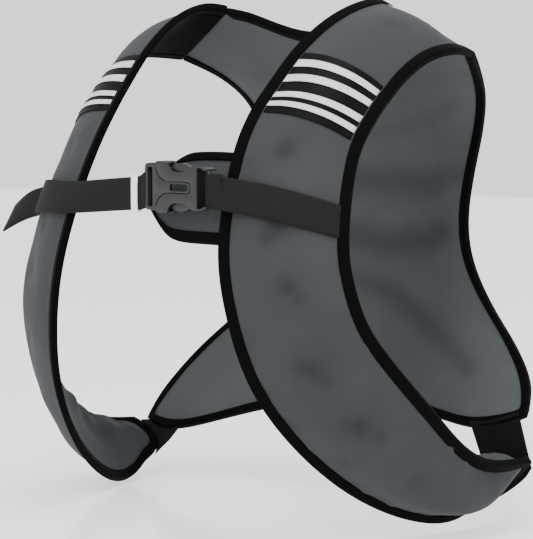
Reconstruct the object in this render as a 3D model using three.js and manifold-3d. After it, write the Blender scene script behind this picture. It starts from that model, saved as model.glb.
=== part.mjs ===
// A weighted vest as it hangs on a wearer, in millimetres, +Z up.
// The wearer faces -Y and the wearer's left is +X. The origin lies midway between
// the undersides of the two shoulder straps, at their highest point.
import * as THREE from 'three';
import Module from 'manifold-3d';
import { mergeVertices } from 'three/addons/utils/BufferGeometryUtils.js';

// Driving sizes of the whole vest
const HALF_WIDTH = 204;
const FRONT_REACH = 180;
const BACK_REACH = 117;
const DROP = 395;
const BACK_LEAN = 22;
const SKEW_SIDEWAYS = 4;
const SKEW_BACKWARD = 5;
const SKEW_UP = 3;
const SKEW_PUFF = 0.25;

// Padded neoprene panels and the tape that binds their edges
const PANEL_EDGE = 3;
const FRONT_PUFF_OUTSIDE = 9;
const FRONT_PUFF_INSIDE = 6;
const FRONT_CAMBER = 4;
const TIP_FADE = 1.5;
const TIP_ROUND = 12;
const BACK_PUFF_OUTSIDE = 6;
const BACK_PUFF_INSIDE = 5;
const DENT_DEPTH = 3;
const DENT_RADIUS = 17;
const FOLD_DEPTH = 2.4;
const FOLD_HALF_WIDTH = 14;
const BINDING_WIDTH = 8;
const BINDING_WALL = 1.1;
const BINDING_COVER = 0.9;
const FIT_GAP = 0.3;
const SEAM_GAP = 1;

// Shoulder trim
const LINING_THICKNESS = 1;
const BAND_THICKNESS = 0.6;
const STRIPE_THICKNESS = 0.5;

// Chest strap, its keeper band, and the elastics at the sides
const STRAP_WIDTH = 25;
const STRAP_THICKNESS = 1.6;
const STRAP_CLEARANCE = 0.8;
const LAYER_GAP = 0.5;
const STRAP_RETURN = 10;
const STRAP_BELOW_BUCKLE = 2;
const TAIL_OVERHANG = 44;
const TAIL_FALL = 17;
const TAIL_BANK = 0.6;
const KEEPER_WIDTH = 6;
const KEEPER_WALL = 1;
const KEEPER_PLAY = 0.4;
const KEEPER_OFFSET = 13;
const KEEPER_DROP = 4;
const SIDE_ELASTIC_THICKNESS = 1.6;

// Side-release buckle
const BUCKLE_LENGTH = 64;
const BUCKLE_HEIGHT = 39;
const BUCKLE_THICKNESS = 11;
const BUCKLE_OFF_CENTRE = 41;
const BUCKLE_RISE = 6;
const BUCKLE_SETBACK = 2;
const BAR_DIAMETER = 3;
const SLOT_LENGTH = 30;
const SLOT_WIDTH = 5;
const SOCKET_WALL = 2;
const SOCKET_BEVEL = 1.2;
const CAVITY_DEPTH = 30;
const CAVITY_HEIGHT = 0.82;
const WINDOW_START = 12;
const WINDOW_LENGTH = 14;
const WINDOW_BITE = 4;
const CLIP_LENGTH = 11;
const CLIP_THICKNESS = 5;
const CLIP_RAIL = 3;
const GUIDE_HALF = 2;
const GUIDE_SHORT = 2;

// Padded tab behind the buckle
const PAD_HALF_STATIONS = 0.82;
const PAD_STATION_OFFSET = -0.1;
const PAD_TUCK_SHARE = 0.1;
const PAD_END_X = -3;
const PAD_END_BACK = 0;
const PAD_PUFF = 2.5;
const PAD_CLEARANCE = 1.2;
const PAD_ROUND_FROM = 0.62;
const PAD_END_NARROWING = 0.8;
const PAD_ROWS = 8;
const PAD_COLUMNS = 6;

// Front panel from the shoulder seam to the wing tip. Its neck edge and arm edge are shares
// of HALF_WIDTH (x), FRONT_REACH (y) and DROP (z); fill is a share of the puff, and skew how
// far the left wing stands off the mean of both, with the right one as far the other way.
const FRONT_COLUMNS = ['neckX', 'neckY', 'neckZ', 'armX', 'armY', 'armZ', 'fill', 'skew'];
const FRONT_ROWS = [
  [0.407, 0.083, 0.008, 0.75, 0.194, -0.091, 0, 0],
  [0.431, -0.022, 0.013, 0.804, -0.006, -0.085, 0.4, 0],
  [0.422, -0.178, -0.003, 0.784, -0.157, -0.099, 0.45, 0],
  [0.402, -0.333, -0.035, 0.76, -0.272, -0.132, 0.55, 0],
  [0.382, -0.489, -0.086, 0.74, -0.344, -0.166, 0.7, 0],
  [0.368, -0.633, -0.152, 0.735, -0.445, -0.208, 0.8, 0],
  [0.358, -0.728, -0.2, 0.73, -0.543, -0.263, 0.9, 0],
  [0.358, -0.822, -0.261, 0.735, -0.595, -0.309, 1, 0],
  [0.373, -0.911, -0.347, 0.755, -0.655, -0.372, 0.9, 0],
  [0.397, -0.989, -0.458, 0.784, -0.709, -0.452, 1, 0],
  [0.441, -1, -0.567, 0.82, -0.72, -0.52, 1, 0],
  [0.5, -0.944, -0.696, 0.87, -0.691, -0.6, 1.05, 0],
  [0.574, -0.807, -0.809, 0.936, -0.58, -0.685, 1.1, 0.2],
  [0.665, -0.593, -0.91, 0.981, -0.446, -0.76, 1.2, 0.4],
  [0.744, -0.352, -0.977, 1, -0.285, -0.839, 1.3, 0.8],
  [0.819, -0.12, -1.002, 1.006, -0.101, -0.882, 1.35, 1.1],
  [0.846, 0.078, -0.968, 1.002, 0.172, -0.893, 1.3, 1.5],
];

// Stuffing dents of the front panel: station down the panel, share across it, share of depth
const DENT_COLUMNS = ['station', 'across', 'depth'];
const FRONT_DENTS = [
  [7, 0.35, 0.7],
  [8.75, 0.38, 0.8],
  [10, 0.45, 1],
  [11.6, 0.45, 1],
  [12.9, 0.42, 1],
  [13.6, 0.7, 0.7],
];

// Back panel from the neck to the hem. Half of each row: middle, inner, outer and edge points,
// as shares of HALF_WIDTH (x), BACK_REACH (y) and DROP (z). The first row's inner to edge
// stretch is the shoulder seam, so it is taken from the front panel.
const BACK_COLUMNS = ['midY', 'midZ', 'innerX', 'innerY', 'innerZ', 'outerX', 'outerY', 'outerZ',
  'edgeX', 'edgeY', 'edgeZ', 'lean'];
const BACK_ROWS = [
  [0.26, -0.054, 0.407, 0.14, 0.008, 0.6, 0.23, -0.04, 0.75, 0.3, -0.091, 0],
  [0.48, -0.114, 0.37, 0.41, -0.07, 0.54, 0.48, -0.1, 0.676, 0.564, -0.127, 0],
  [0.7, -0.19, 0.32, 0.66, -0.155, 0.47, 0.7, -0.168, 0.618, 0.778, -0.18, 0],
  [0.87, -0.266, 0.27, 0.84, -0.246, 0.42, 0.86, -0.25, 0.564, 0.872, -0.253, 0.1],
  [0.97, -0.342, 0.235, 0.955, -0.335, 0.38, 0.93, -0.334, 0.515, 0.897, -0.334, 0.15],
  [1, -0.435, 0.22, 0.985, -0.435, 0.36, 0.95, -0.435, 0.48, 0.906, -0.435, 0.25],
  [0.957, -0.532, 0.23, 0.945, -0.532, 0.38, 0.93, -0.53, 0.505, 0.906, -0.527, 0.4],
  [0.85, -0.63, 0.27, 0.85, -0.63, 0.46, 0.86, -0.625, 0.625, 0.83, -0.62, 0.65],
  [0.73, -0.722, 0.33, 0.71, -0.722, 0.57, 0.69, -0.715, 0.81, 0.65, -0.704, 0.85],
  [0.6, -0.775, 0.37, 0.56, -0.788, 0.68, 0.45, -0.8, 0.95, 0.5, -0.788, 1],
  [0.51, -0.815, 0.4, 0.45, -0.835, 0.77, 0.285, -0.873, 1, 0.36, -0.858, 1],
];

// Soft folds on the inside of the back panel: each runs from one place to another, given as
// station down the panel and share of half the width, on the wearer's left
const FOLD_COLUMNS = ['fromRow', 'fromAcross', 'toRow', 'toAcross', 'depth'];
const BACK_FOLDS = [
  [4.3, -0.2, 4.5, 0.75, 0.7],
  [5.6, -0.3, 5.9, 0.7, 0.7],
  [6.8, -0.2, 7.6, 0.35, 1],
  [7.6, 0.35, 9.2, 0.72, 1],
];

// Four stripes across each shoulder band: shares of the band from its upper edge
const BAND_START_STATION = 4;
const BAND_END_STATION = 6;
const STRIPE_COLUMNS = ['start', 'end'];
const STRIPES = [
  [0.09, 0.24],
  [0.32, 0.47],
  [0.58, 0.72],
  [0.77, 0.9],
];
const LINING_END_STATION = 4;

// Where the strap crosses the front panels, in stations down them, and the shares across them
// at which it has a row
const LEFT_STRAP_STATION = 8.1;
const LEFT_STRAP_SLOPE = 0.34;
const RIGHT_STRAP_STATION = 8.3;
const ON_PANEL_SHARES = [0.98, 0.86, 0.72, 0.58, 0.44, 0.3, 0.18];

// Outline of the buckle's socket from its mouth, as shares of the buckle's length and of half
// its height, and of a prong of the clip, as shares of its length and half the cavity's height
const OUTLINE_COLUMNS = ['along', 'up'];
const SOCKET_OUTLINE = [
  [0.177, 0.86],
  [0.23, 0.95],
  [0.3, 1],
  [0.58, 1],
  [0.66, 0.93],
  [0.72, 0.84],
  [0.8, 0.8],
  [0.93, 0.84],
  [1, 0.84],
];
const PRONG_OUTLINE = [
  [0, 0.52],
  [0.86, 0.52],
  [0.97, 0.68],
  [0.97, 0.86],
  [0.9, 1],
  [0.6, 1.04],
  [0.55, 0.92],
  [0, 0.92],
];

// How finely the pieces are divided
const ROWS_PER_STATION = 2;
const ACROSS_STEPS = 6;
const TURN_STEPS = 4;
const TURN_LEAD_STEPS = 1;
const STATION_STEP = 0.25;

const wasm = await Module();
wasm.setup();

function named(columns, rows) {
  return rows.map((row) => Object.fromEntries(columns.map((column, i) => [column, row[i]])));
}

const frontRows = named(FRONT_COLUMNS, FRONT_ROWS);
const backRows = named(BACK_COLUMNS, BACK_ROWS);
const dents = named(DENT_COLUMNS, FRONT_DENTS);
const folds = named(FOLD_COLUMNS, BACK_FOLDS);
const stripes = named(STRIPE_COLUMNS, STRIPES);
const socketOutline = named(OUTLINE_COLUMNS, SOCKET_OUTLINE);
const prongOutline = named(OUTLINE_COLUMNS, PRONG_OUTLINE);

// Materials, one for each mesh so that a colour can be changed by itself
const finishes = {
  neoprene: { color: 0x54585c, roughness: 0.75, metalness: 0 },
  tape: { color: 0x1c1c1c, roughness: 0.85, metalness: 0 },
  webbing: { color: 0x2b2a29, roughness: 0.8, metalness: 0 },
  band: { color: 0x161617, roughness: 0.55, metalness: 0 },
  reflective: { color: 0xe4e4e4, roughness: 0.4, metalness: 0 },
  acetal: { color: 0x3a3b3d, roughness: 0.5, metalness: 0 },
};

const vest = new THREE.Group();

function add(name, geometry, finish) {
  const mesh = new THREE.Mesh(geometry, new THREE.MeshStandardMaterial(finishes[finish]));
  mesh.name = name;
  vest.add(mesh);
  return mesh;
}

function mix(a, b, share) {
  return a.clone().lerp(b, share);
}

function mixNumber(a, b, share) {
  return a + (b - a) * share;
}

function smooth(share) {
  const clamped = Math.min(Math.max(share, 0), 1);
  return clamped * clamped * (3 - 2 * clamped);
}

// Value of a list between its entries, straight from one to the next
function between(list, station) {
  const low = Math.min(Math.floor(station), list.length - 2);
  return list[low] + (list[low + 1] - list[low]) * (station - low);
}

// Six times the volume of a closed mesh, negative when it is inside out
function signedVolume(positions, triangles) {
  const corners = triangles.map((index) => new THREE.Vector3().fromArray(positions, index * 3));
  let volume = 0;
  for (let i = 0; i < corners.length; i += 3) {
    volume += corners[i].dot(corners[i + 1].clone().cross(corners[i + 2]));
  }
  return volume;
}

function solidGeometry(positions, triangles) {
  const outward = signedVolume(positions, triangles) > 0;
  const ordered = outward ? triangles : triangles.slice().reverse();
  const geometry = new THREE.BufferGeometry();
  geometry.setAttribute('position', new THREE.Float32BufferAttribute(positions, 3));
  geometry.setIndex(ordered);
  geometry.computeVertexNormals();
  return geometry;
}

// A sheet of quads given a thickness: each point carries its normal and how far the two
// faces stand from it, and every free edge of the sheet is closed by a wall
function thicken(points, faces) {
  const positions = [];
  for (const { place, normal, front } of points) {
    positions.push(...place.clone().addScaledVector(normal, front).toArray());
  }
  for (const { place, normal, back } of points) {
    positions.push(...place.clone().addScaledVector(normal, -back).toArray());
  }
  const triangles = [];
  const edges = new Map();
  for (const face of faces) {
    for (let i = 2; i < face.length; i += 1) {
      triangles.push(face[0], face[i - 1], face[i]);
      triangles.push(face[0] + points.length, face[i] + points.length, face[i - 1] + points.length);
    }
    face.forEach((from, i) => edges.set(`${from},${face[(i + 1) % face.length]}`, true));
  }
  for (const edge of edges.keys()) {
    const [from, to] = edge.split(',').map(Number);
    if (!edges.has(`${to},${from}`)) {
      triangles.push(to, from, from + points.length);
      triangles.push(to, from + points.length, to + points.length);
    }
  }
  return solidGeometry(positions, triangles);
}

// Quads between rows of points, all rows with as many points. Each is split towards the
// middle column, so that a rounded end doesn't fold.
function gridFaces(rowCount, wide) {
  const faces = [];
  for (let row = 0; row < rowCount - 1; row += 1) {
    for (let column = 0; column < wide - 1; column += 1) {
      const corner = row * wide + column;
      const nearHalf = column < (wide - 1) / 2;
      faces.push(nearHalf
        ? [corner + 1, corner, corner + wide, corner + wide + 1]
        : [corner, corner + wide, corner + wide + 1, corner + 1]);
    }
  }
  return faces;
}

function strip(rows) {
  return thicken(rows.flat(), gridFaces(rows.length, rows[0].length));
}

// Tape folded over an edge: a channel section carried along the edge's points, each with the
// place on the edge, the place where the tape's lip ends, and the normal. Its quads are split
// the same way as those of the sheet between the edge and the lip, which keeps the gap even.
function foldedTape(path) {
  const slot = PANEL_EDGE / 2 + FIT_GAP;
  const skin = slot + BINDING_WALL;
  const positions = [];
  for (const { edge, lip, normal } of path) {
    const inward = lip.clone().sub(edge);
    const reach = inward.length() * BINDING_COVER;
    inward.normalize();
    const outer = -FIT_GAP - BINDING_WALL;
    const section = [[reach, skin], [outer, skin], [outer, -skin], [reach, -skin],
      [reach, -slot], [-FIT_GAP, -slot], [-FIT_GAP, slot], [reach, slot]];
    for (const [along, up] of section) {
      const corner = edge.clone().addScaledVector(inward, along).addScaledVector(normal, up);
      positions.push(...corner.toArray());
    }
  }
  const sides = 8;
  const triangles = [];
  for (let step = 0; step < path.length - 1; step += 1) {
    for (let side = 0; side < sides; side += 1) {
      const here = step * sides + side;
      const next = step * sides + (side + 1) % sides;
      if (side % 4 === 0) {
        triangles.push(here, next, here + sides, next, next + sides, here + sides);
      } else {
        triangles.push(here, next, next + sides, here, next + sides, here + sides);
      }
    }
  }
  const last = (path.length - 1) * sides;
  for (const [a, b, c, d] of [[0, 1, 6, 7], [1, 2, 5, 6], [2, 3, 4, 5]]) {
    triangles.push(a, c, b, a, d, c);
    triangles.push(last + a, last + b, last + c, last + a, last + c, last + d);
  }
  return solidGeometry(positions, triangles);
}

function mirrored(geometry) {
  const copy = geometry.clone();
  copy.scale(-1, 1, 1);
  const index = Array.from(copy.index.array).reverse();
  copy.setIndex(index);
  copy.computeVertexNormals();
  return copy;
}

// One front panel. side is 1 for the wearer's left and -1 for the right; its shape is worked
// out on the left and mirrored. The vest hangs a little askew, so the left wing tip is higher
// and reaches further back than the right one.
function frontPanel(side) {
  function edgeCurve(edge) {
    const places = frontRows.map((row) => {
      const skew = side * row.skew;
      return new THREE.Vector3(row[`${edge}X`] * HALF_WIDTH + SKEW_SIDEWAYS * skew,
        row[`${edge}Y`] * FRONT_REACH + SKEW_BACKWARD * skew, row[`${edge}Z`] * DROP + SKEW_UP * skew);
    });
    return new THREE.CatmullRomCurve3(places, false, 'catmullrom');
  }
  const neckCurve = edgeCurve('neck');
  const armCurve = edgeCurve('arm');
  const lastStation = frontRows.length - 1;
  const fills = frontRows.map((row) => row.fill + SKEW_PUFF * side * row.skew);

  // Neck edge, arm edge and the directions across, along and out of the panel at a station
  function frameAt(station) {
    const share = station / lastStation;
    const neck = neckCurve.getPoint(share);
    const arm = armCurve.getPoint(share);
    const across = arm.clone().sub(neck);
    const width = across.length();
    across.normalize();
    const along = neckCurve.getTangent(share).add(armCurve.getTangent(share)).normalize();
    const normal = along.clone().cross(across).normalize();
    const down = across.clone().cross(normal).normalize();
    return { neck, arm, across, width, down, normal };
  }

  // Middle surface between the lips of the two edge tapes
  function middle(station, share) {
    const frame = frameAt(station);
    const reach = BINDING_WIDTH + (frame.width - 2 * BINDING_WIDTH) * share;
    const seamFade = smooth(station / 2) * smooth((lastStation - station) / 2);
    const camber = FRONT_CAMBER * Math.sin(Math.PI * share) * seamFade;
    const place = frame.neck.clone().addScaledVector(frame.across, reach).addScaledVector(frame.normal, camber);
    return { place, frame };
  }

  const dentPlaces = dents.map((dent) => ({ ...dent, place: middle(dent.station, dent.across).place }));

  function pointAt(station, share) {
    const { place, frame } = middle(station, share);
    const pastTip = Math.max((station - lastStation + TIP_FADE) / TIP_FADE, 0);
    const swell = between(fills, station) * (1 - Math.abs(2 * share - 1) ** 2.6) * (1 - pastTip ** 3);
    let outside = PANEL_EDGE / 2 + FRONT_PUFF_OUTSIDE * swell;
    for (const dent of dentPlaces) {
      const far = place.distanceTo(dent.place) / DENT_RADIUS;
      outside -= DENT_DEPTH * dent.depth * Math.min(swell, 1) * Math.exp(-far * far);
    }
    const inside = PANEL_EDGE / 2 + FRONT_PUFF_INSIDE * swell;
    return { place, normal: frame.normal, front: outside, back: inside };
  }

  // Stations of the mesh rows: every part of a station, and each edge of the band's stripes
  const stations = new Set();
  for (let step = 0; step <= lastStation * ROWS_PER_STATION; step += 1) {
    const station = step / ROWS_PER_STATION;
    if (station <= BAND_START_STATION || station >= BAND_END_STATION) {
      stations.add(station);
    }
  }
  const bandLength = BAND_END_STATION - BAND_START_STATION;
  for (const stripe of stripes) {
    stations.add(BAND_START_STATION + stripe.start * bandLength);
    stations.add(BAND_START_STATION + stripe.end * bandLength);
  }
  const rowStations = Array.from(stations).sort((a, b) => a - b);

  return { frameAt, pointAt, rowStations, lastStation };
}

// Grid of a front panel inside its edge tape, and the edge points outside it in one path
// from the seam down the neck edge, round the wing tip and back up the arm edge
function frontGrid(panel) {
  const { frameAt, pointAt, rowStations } = panel;
  const grid = rowStations.map((station) => {
    const row = [];
    for (let step = 0; step <= ACROSS_STEPS; step += 1) {
      row.push(pointAt(station, step / ACROSS_STEPS));
    }
    return row;
  });
  const tip = frameAt(panel.lastStation);
  grid[grid.length - 1].forEach((point, step) => {
    const share = step / ACROSS_STEPS;
    point.place.addScaledVector(tip.down, TIP_ROUND * 4 * share * (1 - share) - BINDING_WIDTH);
  });
  const edgePath = [];
  const thin = { front: PANEL_EDGE / 2, back: PANEL_EDGE / 2 };
  function edgePoint(row, column, place, normal) {
    edgePath.push({ row, column, edge: place, lip: grid[row][column].place, normal, ...thin, place });
  }
  rowStations.slice(0, -1).forEach((station, row) => {
    const { neck, normal } = frameAt(station);
    edgePoint(row, 0, neck, normal);
  });
  const lastRow = grid.length - 1;
  for (let step = 0; step <= ACROSS_STEPS; step += 1) {
    const turn = Math.PI * (0.14 + 0.72 * step / ACROSS_STEPS);
    const place = grid[lastRow][step].place.clone()
      .addScaledVector(tip.across, -Math.cos(turn) * BINDING_WIDTH)
      .addScaledVector(tip.down, Math.sin(turn) * BINDING_WIDTH);
    edgePoint(lastRow, step, place, tip.normal);
  }
  rowStations.slice(0, -1).reverse().forEach((station, back) => {
    const { arm, normal } = frameAt(station);
    edgePoint(rowStations.length - 2 - back, ACROSS_STEPS, arm, normal);
  });
  return { grid, edgePath };
}

// A sheet from its grid and the edge points outside it, one to each outer point of the grid
function edgedSheet({ grid, edgePath }) {
  const wide = grid[0].length;
  const points = grid.flat();
  const faces = gridFaces(grid.length, wide);
  const first = points.length;
  points.push(...edgePath);
  for (let step = 0; step < edgePath.length - 1; step += 1) {
    const here = edgePath[step];
    const next = edgePath[step + 1];
    faces.push([first + step, first + step + 1, next.row * wide + next.column, here.row * wide + here.column]);
  }
  return thicken(points, faces);
}

// Cloth laid on one face of a front panel: rows of its grid, lifted off that face
function laidOn(grid, fromRow, toRow, lift, thickness) {
  return strip(grid.slice(fromRow, toRow + 1).map((row) => row.map(({ place, normal, front, back }) => (
    lift > 0
      ? { place, normal, front: front + lift + thickness, back: -front - lift }
      : { place, normal, front: -back + lift, back: back - lift + thickness }
  ))));
}

const frontPanels = { 1: frontPanel(1), '-1': frontPanel(-1) };
const frontGrids = { 1: frontGrid(frontPanels[1]), '-1': frontGrid(frontPanels[-1]) };

for (const [side, word] of [[1, 'left'], [-1, 'right']]) {
  const turned = (geometry) => (side > 0 ? geometry : mirrored(geometry));
  const { grid, edgePath } = frontGrids[side];
  const rowAt = (station) => frontPanels[side].rowStations.findIndex((row) => row > station - 1e-6);
  add(`${word}_front_panel`, turned(edgedSheet({ grid, edgePath })), 'neoprene');
  add(`${word}_front_binding`, turned(foldedTape(edgePath)), 'tape');
  add(`${word}_shoulder_lining`,
    turned(laidOn(grid, 0, rowAt(LINING_END_STATION), -FIT_GAP, LINING_THICKNESS)), 'tape');
  const bandRows = [rowAt(BAND_START_STATION), rowAt(BAND_END_STATION)];
  add(`${word}_shoulder_band`, turned(laidOn(grid, ...bandRows, FIT_GAP, BAND_THICKNESS)), 'band');
  const bandLength = BAND_END_STATION - BAND_START_STATION;
  stripes.forEach((stripe, number) => {
    const from = rowAt(BAND_START_STATION + stripe.start * bandLength);
    const to = rowAt(BAND_START_STATION + stripe.end * bandLength);
    const lift = 2 * FIT_GAP + BAND_THICKNESS;
    add(`${word}_stripe_${number + 1}`, turned(laidOn(grid, from, to, lift, STRIPE_THICKNESS)), 'reflective');
  });
}

// Middle surface of the back panel. row counts down the panel, and across runs from -1 at the
// wearer's right edge to 1 at the left edge, with the neck corners at a third of that.
const NECK_CORNER = 1 / 3;
const backColumnCurves = [-3, -2, -1, 0, 1, 2, 3].map((column) => {
  const side = Math.sign(column) || 1;
  const seam = frontPanels[side].frameAt(0);
  const places = backRows.map((row, number) => {
    const kind = ['mid', 'inner', 'outer', 'edge'][Math.abs(column)];
    const x = (row[`${kind}X`] ?? 0) * HALF_WIDTH * side;
    const place = new THREE.Vector3(x, row[`${kind}Y`] * BACK_REACH, row[`${kind}Z`] * DROP);
    place.z += BACK_LEAN * row.lean * x / HALF_WIDTH;
    if (number === 0 && column !== 0) {
      place.copy(mix(seam.neck, seam.arm, (Math.abs(column) - 1) / 2));
      place.addScaledVector(seam.down, -SEAM_GAP);
      place.x *= side;
    }
    return place;
  });
  return new THREE.CatmullRomCurve3(places, false, 'catmullrom');
});
const lastBackRow = backRows.length - 1;

function backMiddle(row, across) {
  const columns = backColumnCurves.map((curve) => curve.getPoint(row / lastBackRow));
  const station = (across + 1) * 3;
  const low = Math.min(Math.floor(station), 5);
  const straight = mix(columns[low], columns[low + 1], station - low);
  const curved = new THREE.CatmullRomCurve3(columns, false, 'catmullrom').getPoint(station / 6);
  const seamPart = smooth((Math.abs(across) - NECK_CORNER) / 0.05);
  const straightness = seamPart * (1 - smooth(row));
  return mix(curved, straight, straightness);
}

const seamNormals = Object.fromEntries([1, -1].map((side) => {
  const { normal } = frontPanels[side].frameAt(0);
  return [side, new THREE.Vector3(side * normal.x, normal.y, normal.z)];
}));

function backNormal(row, across) {
  const step = 0.02;
  const down = backMiddle(Math.min(row + step, lastBackRow), across).sub(backMiddle(Math.max(row - step, 0), across));
  const over = backMiddle(row, Math.min(across + step, 1)).sub(backMiddle(row, Math.max(across - step, -1)));
  return over.cross(down).normalize();
}

const foldLines = folds.map((fold) => ({
  depth: fold.depth,
  line: new THREE.Line3(backMiddle(fold.fromRow, fold.fromAcross), backMiddle(fold.toRow, fold.toAcross)),
}));

const BACK_SIDE_STEPS = 4;
const BACK_NECK_STEPS = 6;
const BACK_DOWN_STEPS = 20;
const backWide = 2 * BACK_SIDE_STEPS + BACK_NECK_STEPS;

function backGridPoint(step, column) {
  const share = step / BACK_DOWN_STEPS;
  const rough = share * lastBackRow;
  const halfLength = backMiddle(rough, 1).distanceTo(backMiddle(rough, 0));
  const edgeInset = BINDING_WIDTH / halfLength;
  const fromRight = column - BACK_SIDE_STEPS;
  const fromLeft = backWide - column - BACK_SIDE_STEPS;
  let across = NECK_CORNER * (2 * fromRight / BACK_NECK_STEPS - 1);
  if (fromRight < 0) {
    across = -NECK_CORNER + (1 - edgeInset - NECK_CORNER) * fromRight / BACK_SIDE_STEPS;
  }
  if (fromLeft < 0) {
    across = NECK_CORNER - (1 - edgeInset - NECK_CORNER) * fromLeft / BACK_SIDE_STEPS;
  }
  const onNeck = fromRight >= 0 && fromLeft >= 0;
  const topLength = backMiddle(0, across).distanceTo(backMiddle(1, across));
  const hemLength = backMiddle(lastBackRow, across).distanceTo(backMiddle(lastBackRow - 1, across));
  const top = onNeck ? BINDING_WIDTH / topLength : 0;
  const row = top + (lastBackRow - BINDING_WIDTH / hemLength - top) * share;
  const place = backMiddle(row, across);
  const normal = step === 0 && Math.abs(across) > NECK_CORNER ? seamNormals[Math.sign(across)] : backNormal(row, across);
  const fromSides = Math.abs(across) / (1 - edgeInset);
  const sideFade = Math.max(1 - fromSides ** 5, 0);
  const hemFade = smooth((1 - share) * 5);
  const neckFade = onNeck ? smooth(share * 5) : 1;
  const seamFade = smooth(share * 4);
  const swell = sideFade * hemFade * neckFade * seamFade;
  let inside = PANEL_EDGE / 2 + BACK_PUFF_INSIDE * swell;
  for (const { depth, line } of foldLines) {
    const nearest = line.closestPointToPoint(place, true, new THREE.Vector3());
    const far = place.distanceTo(nearest) / FOLD_HALF_WIDTH;
    inside -= FOLD_DEPTH * depth * swell * Math.exp(-far * far);
  }
  return { place, normal, across, row, front: PANEL_EDGE / 2 + BACK_PUFF_OUTSIDE * swell, back: inside };
}

const backGrid = [];
for (let step = 0; step <= BACK_DOWN_STEPS; step += 1) {
  const row = [];
  for (let column = 0; column <= backWide; column += 1) {
    row.push(backGridPoint(step, column));
  }
  backGrid.push(row);
}

function backEdgePoint(step, column, row, across, corner = 0) {
  const inner = backGrid[step][column];
  const place = mix(backMiddle(row, across), inner.place, corner);
  const edgeThickness = { front: PANEL_EDGE / 2, back: PANEL_EDGE / 2 };
  return { step, column, edge: place, place, lip: inner.place, normal: inner.normal, ...edgeThickness };
}

// Edge path from the right seam down the side, along the hem and up the left side
const CORNER_ROUNDING = 0.3;
const backEdge = [];
for (let step = 0; step < BACK_DOWN_STEPS; step += 1) {
  backEdge.push(backEdgePoint(step, 0, backGrid[step][0].row, -1));
}
for (let column = 0; column <= backWide; column += 1) {
  const across = column === 0 ? -1 : column === backWide ? 1 : backGrid[BACK_DOWN_STEPS][column].across;
  const corner = Math.abs(across) === 1 ? CORNER_ROUNDING : 0;
  backEdge.push(backEdgePoint(BACK_DOWN_STEPS, column, lastBackRow, across, corner));
}
for (let step = BACK_DOWN_STEPS - 1; step >= 0; step -= 1) {
  backEdge.push(backEdgePoint(step, backWide, backGrid[step][backWide].row, 1));
}
const neckEdge = [];
for (let column = BACK_SIDE_STEPS; column <= BACK_SIDE_STEPS + BACK_NECK_STEPS; column += 1) {
  neckEdge.push(backEdgePoint(0, column, 0, backGrid[0][column].across));
}

function backSheet() {
  const wide = backWide + 1;
  const points = backGrid.flat();
  const faces = [];
  for (let step = 0; step < BACK_DOWN_STEPS; step += 1) {
    for (let column = 0; column < backWide; column += 1) {
      const corner = step * wide + column;
      faces.push([corner, corner + 1, corner + wide + 1, corner + wide]);
    }
  }
  const place = ({ step, column }) => step * wide + column;
  const firstEdge = points.length;
  points.push(...backEdge);
  for (let step = 0; step < backEdge.length - 1; step += 1) {
    faces.push([place(backEdge[step + 1]), firstEdge + step + 1, firstEdge + step, place(backEdge[step])]);
  }
  const firstNeck = points.length;
  points.push(...neckEdge);
  for (let step = 0; step < neckEdge.length - 1; step += 1) {
    faces.push([firstNeck + step, firstNeck + step + 1, place(neckEdge[step + 1]), place(neckEdge[step])]);
  }
  const lastNeck = firstNeck + neckEdge.length - 1;
  faces.push([BACK_SIDE_STEPS - 1, firstNeck, BACK_SIDE_STEPS]);
  faces.push([BACK_SIDE_STEPS + BACK_NECK_STEPS, lastNeck, BACK_SIDE_STEPS + BACK_NECK_STEPS + 1]);
  return thicken(points, faces);
}

add('back_panel', backSheet(), 'neoprene');
add('back_binding', foldedTape(backEdge), 'tape');

// The neck tape stops short of the seams, clear of the tapes that come over the shoulders
const NECK_TAPE_TRIM = 0.25;
function trimmed(end, next) {
  return {
    edge: mix(end.edge, next.edge, NECK_TAPE_TRIM),
    lip: mix(end.lip, next.lip, NECK_TAPE_TRIM),
    normal: mix(end.normal, next.normal, NECK_TAPE_TRIM).normalize(),
  };
}
const neckTape = neckEdge.slice(1, -1);
neckTape.unshift(trimmed(neckEdge[0], neckEdge[1]));
neckTape.push(trimmed(neckEdge[neckEdge.length - 1], neckEdge[neckEdge.length - 2]));
add('back_neck_binding', foldedTape(neckTape), 'tape');

// Elastic at each side, from the wing tip of a front panel to the lower corner of the back
// panel, its ends sewn to the outer folds of the two tapes
const ELASTIC_CLEARANCE = 1.3;
const ELASTIC_STEPS = 3;
const ELASTIC_COLUMNS = 4;
const ELASTIC_TIP_SPAN = [0.16, 0.9];
const ELASTIC_CORNER_SPAN = [0.08, 0.9];

// Place just outside the tape at a share of a stretch of edge points
function outsideTape(points, share, side) {
  const station = share * (points.length - 1);
  const low = Math.min(Math.floor(station), points.length - 2);
  const [from, to] = [points[low], points[low + 1]];
  const edge = mix(from.edge, to.edge, station - low);
  const lip = mix(from.lip, to.lip, station - low);
  const normal = mix(from.normal, to.normal, station - low).normalize();
  const place = edge.addScaledVector(lip.sub(edge).normalize(), -BINDING_WALL - ELASTIC_CLEARANCE);
  return { place: new THREE.Vector3(side * place.x, place.y, place.z),
    normal: new THREE.Vector3(side * normal.x, normal.y, normal.z) };
}

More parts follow.
